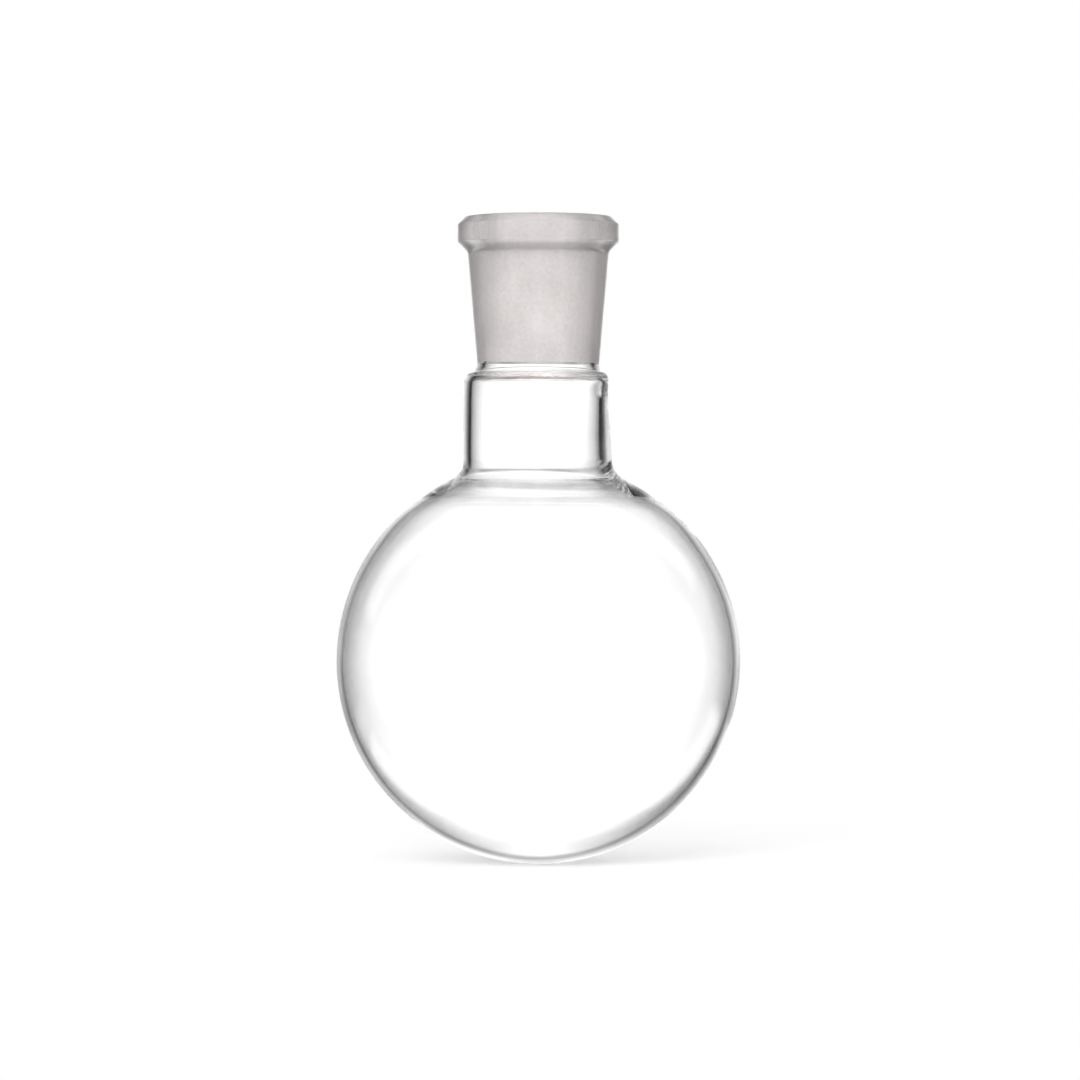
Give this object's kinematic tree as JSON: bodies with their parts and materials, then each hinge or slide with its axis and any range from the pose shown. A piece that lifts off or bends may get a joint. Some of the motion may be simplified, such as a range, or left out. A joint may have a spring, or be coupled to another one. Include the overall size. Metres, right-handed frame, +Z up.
{
  "type": "round bottom flask",
  "caption": "Short-neck round-bottom glass flask with a tapered ground-glass socket and a beaded rim, for heating and distilling.",
  "frame": {"origin": "lowest point of the bulb, on the flask's axis", "axes": "+Z up along the flask's axis towards its mouth; the flask is round about Z, so X and Y are free"},
  "size_m": [0.08, 0.08, 0.128],
  "materials": {
    "borosilicate_glass": "clear polished borosilicate glass, frosted where the socket is ground"
  },
  "bodies": {
    "root": {"flask": "borosilicate_glass"}
  },
  "joints": []
}
